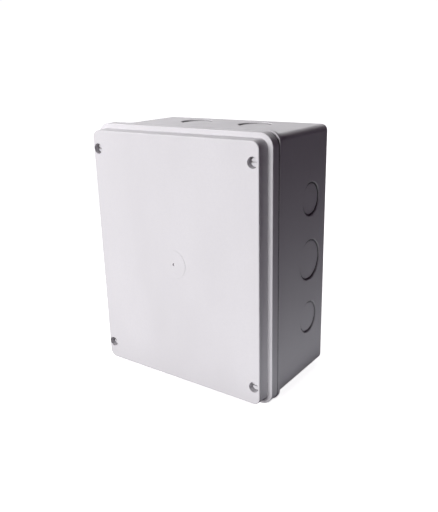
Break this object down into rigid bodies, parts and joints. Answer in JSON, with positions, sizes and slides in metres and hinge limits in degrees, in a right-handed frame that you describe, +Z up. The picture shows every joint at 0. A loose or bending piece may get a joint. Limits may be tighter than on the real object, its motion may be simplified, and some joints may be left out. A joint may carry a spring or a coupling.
{
  "type": "electrical junction box",
  "caption": "Deep rectangular plastic junction box with a raised screw-down lid, round knock-out entries and a rail of screw terminals inside.",
  "frame": {"origin": "centre of the box's flat back face, which goes against the wall", "axes": "+X to the right seen from the front, +Y out of the back into the wall, +Z up"},
  "size_m": [0.2, 0.1212, 0.252],
  "materials": {
    "housing_plastic": "light grey, fine satin texture",
    "screw_nylon": "light grey nylon",
    "gasket_rubber": "dark grey moulded rubber",
    "seal_rubber": "black rubber",
    "zinc_steel": "bright zinc plated",
    "galvanised_sheet": "galvanised sheet",
    "tinned_copper": null,
    "terminal_grey": "grey polyamide",
    "terminal_blue": "blue polyamide",
    "terminal_earth": "green and yellow polyamide",
    "marker_white": "white"
  },
  "bodies": {
    "base": {"base": "housing_plastic", "knockout_left_upper": "housing_plastic", "knockout_left_middle": "housing_plastic", "knockout_left_lower": "housing_plastic", "knockout_right_upper": "housing_plastic", "knockout_right_middle": "housing_plastic", "knockout_right_lower": "housing_plastic", "knockout_top_left": "housing_plastic", "knockout_top_right": "housing_plastic", "knockout_bottom_left": "housing_plastic", "knockout_bottom_right": "housing_plastic", "mounting_plate": "galvanised_sheet", "mounting_plate_screws": "zinc_steel", "din_rail": "zinc_steel", "din_rail_screws": "zinc_steel", "terminal_housing_1": "terminal_grey", "terminal_housing_2": "terminal_grey", "terminal_housing_3": "terminal_grey", "terminal_housing_4": "terminal_blue", "terminal_housing_5": "terminal_earth", "terminal_end_plate": "terminal_grey", "current_bars": "tinned_copper", "terminal_markers": "marker_white", "end_bracket_left": "terminal_grey", "end_bracket_right": "terminal_grey", "end_bracket_screws": "zinc_steel"},
    "lid": {"lid": "housing_plastic", "lid_gasket": "gasket_rubber"},
    "lid_screw_seal_1": {"lid_screw_seal_1": "seal_rubber"},
    "lid_screw_1": {"lid_screw_1": "screw_nylon"},
    "lid_screw_seal_2": {"lid_screw_seal_2": "seal_rubber"},
    "lid_screw_2": {"lid_screw_2": "screw_nylon"},
    "lid_screw_seal_3": {"lid_screw_seal_3": "seal_rubber"},
    "lid_screw_3": {"lid_screw_3": "screw_nylon"},
    "lid_screw_seal_4": {"lid_screw_seal_4": "seal_rubber"},
    "lid_screw_4": {"lid_screw_4": "screw_nylon"},
    "clamp_screw_1_upper": {"clamp_screw_1_upper": "zinc_steel"},
    "clamp_cage_1_upper": {"clamp_cage_1_upper": "zinc_steel"},
    "clamp_screw_1_lower": {"clamp_screw_1_lower": "zinc_steel"},
    "clamp_cage_1_lower": {"clamp_cage_1_lower": "zinc_steel"},
    "clamp_screw_2_upper": {"clamp_screw_2_upper": "zinc_steel"},
    "clamp_cage_2_upper": {"clamp_cage_2_upper": "zinc_steel"},
    "clamp_screw_2_lower": {"clamp_screw_2_lower": "zinc_steel"},
    "clamp_cage_2_lower": {"clamp_cage_2_lower": "zinc_steel"},
    "clamp_screw_3_upper": {"clamp_screw_3_upper": "zinc_steel"},
    "clamp_cage_3_upper": {"clamp_cage_3_upper": "zinc_steel"},
    "clamp_screw_3_lower": {"clamp_screw_3_lower": "zinc_steel"},
    "clamp_cage_3_lower": {"clamp_cage_3_lower": "zinc_steel"},
    "clamp_screw_4_upper": {"clamp_screw_4_upper": "zinc_steel"},
    "clamp_cage_4_upper": {"clamp_cage_4_upper": "zinc_steel"},
    "clamp_screw_4_lower": {"clamp_screw_4_lower": "zinc_steel"},
    "clamp_cage_4_lower": {"clamp_cage_4_lower": "zinc_steel"},
    "clamp_screw_5_upper": {"clamp_screw_5_upper": "zinc_steel"},
    "clamp_cage_5_upper": {"clamp_cage_5_upper": "zinc_steel"},
    "clamp_screw_5_lower": {"clamp_screw_5_lower": "zinc_steel"},
    "clamp_cage_5_lower": {"clamp_cage_5_lower": "zinc_steel"}
  },
  "joints": [
    {"name": "lid_lift", "type": "slide", "parent": "base", "child": "lid", "axis": [0, -1, 0], "range_m": [0, 0.08]},
    {"name": "lid_screw_1_back_out", "type": "slide", "parent": "lid", "child": "lid_screw_seal_1", "axis": [0, -1, 0], "range_m": [0, 0.008]},
    {"name": "lid_screw_1_turn", "type": "hinge", "parent": "lid_screw_seal_1", "child": "lid_screw_1", "pos_m": [-0.0885, -0.115, 0.103], "axis": [0, -1, 0], "range_deg": [0, 1800]},
    {"name": "lid_screw_2_back_out", "type": "slide", "parent": "lid", "child": "lid_screw_seal_2", "axis": [0, -1, 0], "range_m": [0, 0.008]},
    {"name": "lid_screw_2_turn", "type": "hinge", "parent": "lid_screw_seal_2", "child": "lid_screw_2", "pos_m": [0.0885, -0.115, 0.103], "axis": [0, -1, 0], "range_deg": [0, 1800]},
    {"name": "lid_screw_3_back_out", "type": "slide", "parent": "lid", "child": "lid_screw_seal_3", "axis": [0, -1, 0], "range_m": [0, 0.008]},
    {"name": "lid_screw_3_turn", "type": "hinge", "parent": "lid_screw_seal_3", "child": "lid_screw_3", "pos_m": [-0.0885, -0.115, -0.103], "axis": [0, -1, 0], "range_deg": [0, 1800]},
    {"name": "lid_screw_4_back_out", "type": "slide", "parent": "lid", "child": "lid_screw_seal_4", "axis": [0, -1, 0], "range_m": [0, 0.008]},
    {"name": "lid_screw_4_turn", "type": "hinge", "parent": "lid_screw_seal_4", "child": "lid_screw_4", "pos_m": [0.0885, -0.115, -0.103], "axis": [0, -1, 0], "range_deg": [0, 1800]},
    {"name": "clamp_screw_1_upper_turn", "type": "hinge", "parent": "base", "child": "clamp_screw_1_upper", "pos_m": [-0.0235, -0.056, 0.016], "axis": [0, 1, 0], "range_deg": [0, 2571.5]},
    {"name": "clamp_cage_1_upper_rise", "type": "slide", "parent": "base", "child": "clamp_cage_1_upper", "axis": [0, -1, 0], "range_m": [0, 0.005]},
    {"name": "clamp_screw_1_lower_turn", "type": "hinge", "parent": "base", "child": "clamp_screw_1_lower", "pos_m": [-0.0235, -0.056, -0.016], "axis": [0, 1, 0], "range_deg": [0, 2571.5]},
    {"name": "clamp_cage_1_lower_rise", "type": "slide", "parent": "base", "child": "clamp_cage_1_lower", "axis": [0, -1, 0], "range_m": [0, 0.005]},
    {"name": "clamp_screw_2_upper_turn", "type": "hinge", "parent": "base", "child": "clamp_screw_2_upper", "pos_m": [-0.0115, -0.056, 0.016], "axis": [0, 1, 0], "range_deg": [0, 2571.5]},
    {"name": "clamp_cage_2_upper_rise", "type": "slide", "parent": "base", "child": "clamp_cage_2_upper", "axis": [0, -1, 0], "range_m": [0, 0.005]},
    {"name": "clamp_screw_2_lower_turn", "type": "hinge", "parent": "base", "child": "clamp_screw_2_lower", "pos_m": [-0.0115, -0.056, -0.016], "axis": [0, 1, 0], "range_deg": [0, 2571.5]},
    {"name": "clamp_cage_2_lower_rise", "type": "slide", "parent": "base", "child": "clamp_cage_2_lower", "axis": [0, -1, 0], "range_m": [0, 0.005]},
    {"name": "clamp_screw_3_upper_turn", "type": "hinge", "parent": "base", "child": "clamp_screw_3_upper", "pos_m": [0.0005, -0.056, 0.016], "axis": [0, 1, 0], "range_deg": [0, 2571.5]},
    {"name": "clamp_cage_3_upper_rise", "type": "slide", "parent": "base", "child": "clamp_cage_3_upper", "axis": [0, -1, 0], "range_m": [0, 0.005]},
    {"name": "clamp_screw_3_lower_turn", "type": "hinge", "parent": "base", "child": "clamp_screw_3_lower", "pos_m": [0.0005, -0.056, -0.016], "axis": [0, 1, 0], "range_deg": [0, 2571.5]},
    {"name": "clamp_cage_3_lower_rise", "type": "slide", "parent": "base", "child": "clamp_cage_3_lower", "axis": [0, -1, 0], "range_m": [0, 0.005]},
    {"name": "clamp_screw_4_upper_turn", "type": "hinge", "parent": "base", "child": "clamp_screw_4_upper", "pos_m": [0.0125, -0.056, 0.016], "axis": [0, 1, 0], "range_deg": [0, 2571.5]},
    {"name": "clamp_cage_4_upper_rise", "type": "slide", "parent": "base", "child": "clamp_cage_4_upper", "axis": [0, -1, 0], "range_m": [0, 0.005]},
    {"name": "clamp_screw_4_lower_turn", "type": "hinge", "parent": "base", "child": "clamp_screw_4_lower", "pos_m": [0.0125, -0.056, -0.016], "axis": [0, 1, 0], "range_deg": [0, 2571.5]},
    {"name": "clamp_cage_4_lower_rise", "type": "slide", "parent": "base", "child": "clamp_cage_4_lower", "axis": [0, -1, 0], "range_m": [0, 0.005]},
    {"name": "clamp_screw_5_upper_turn", "type": "hinge", "parent": "base", "child": "clamp_screw_5_upper", "pos_m": [0.0245, -0.056, 0.016], "axis": [0, 1, 0], "range_deg": [0, 2571.5]},
    {"name": "clamp_cage_5_upper_rise", "type": "slide", "parent": "base", "child": "clamp_cage_5_upper", "axis": [0, -1, 0], "range_m": [0, 0.005]},
    {"name": "clamp_screw_5_lower_turn", "type": "hinge", "parent": "base", "child": "clamp_screw_5_lower", "pos_m": [0.0245, -0.056, -0.016], "axis": [0, 1, 0], "range_deg": [0, 2571.5]},
    {"name": "clamp_cage_5_lower_rise", "type": "slide", "parent": "base", "child": "clamp_cage_5_lower", "axis": [0, -1, 0], "range_m": [0, 0.005]}
  ],
  "couplings": [
    {"joint": "lid_screw_1_turn", "follows": "lid_screw_1_back_out", "rad_per_m": 3927},
    {"joint": "lid_screw_2_turn", "follows": "lid_screw_2_back_out", "rad_per_m": 3927},
    {"joint": "lid_screw_3_turn", "follows": "lid_screw_3_back_out", "rad_per_m": 3927},
    {"joint": "lid_screw_4_turn", "follows": "lid_screw_4_back_out", "rad_per_m": 3927},
    {"joint": "clamp_screw_1_upper_turn", "follows": "clamp_cage_1_upper_rise", "rad_per_m": 8976},
    {"joint": "clamp_screw_1_lower_turn", "follows": "clamp_cage_1_lower_rise", "rad_per_m": 8976},
    {"joint": "clamp_screw_2_upper_turn", "follows": "clamp_cage_2_upper_rise", "rad_per_m": 8976},
    {"joint": "clamp_screw_2_lower_turn", "follows": "clamp_cage_2_lower_rise", "rad_per_m": 8976},
    {"joint": "clamp_screw_3_upper_turn", "follows": "clamp_cage_3_upper_rise", "rad_per_m": 8976},
    {"joint": "clamp_screw_3_lower_turn", "follows": "clamp_cage_3_lower_rise", "rad_per_m": 8976},
    {"joint": "clamp_screw_4_upper_turn", "follows": "clamp_cage_4_upper_rise", "rad_per_m": 8976},
    {"joint": "clamp_screw_4_lower_turn", "follows": "clamp_cage_4_lower_rise", "rad_per_m": 8976},
    {"joint": "clamp_screw_5_upper_turn", "follows": "clamp_cage_5_upper_rise", "rad_per_m": 8976},
    {"joint": "clamp_screw_5_lower_turn", "follows": "clamp_cage_5_lower_rise", "rad_per_m": 8976}
  ]
}
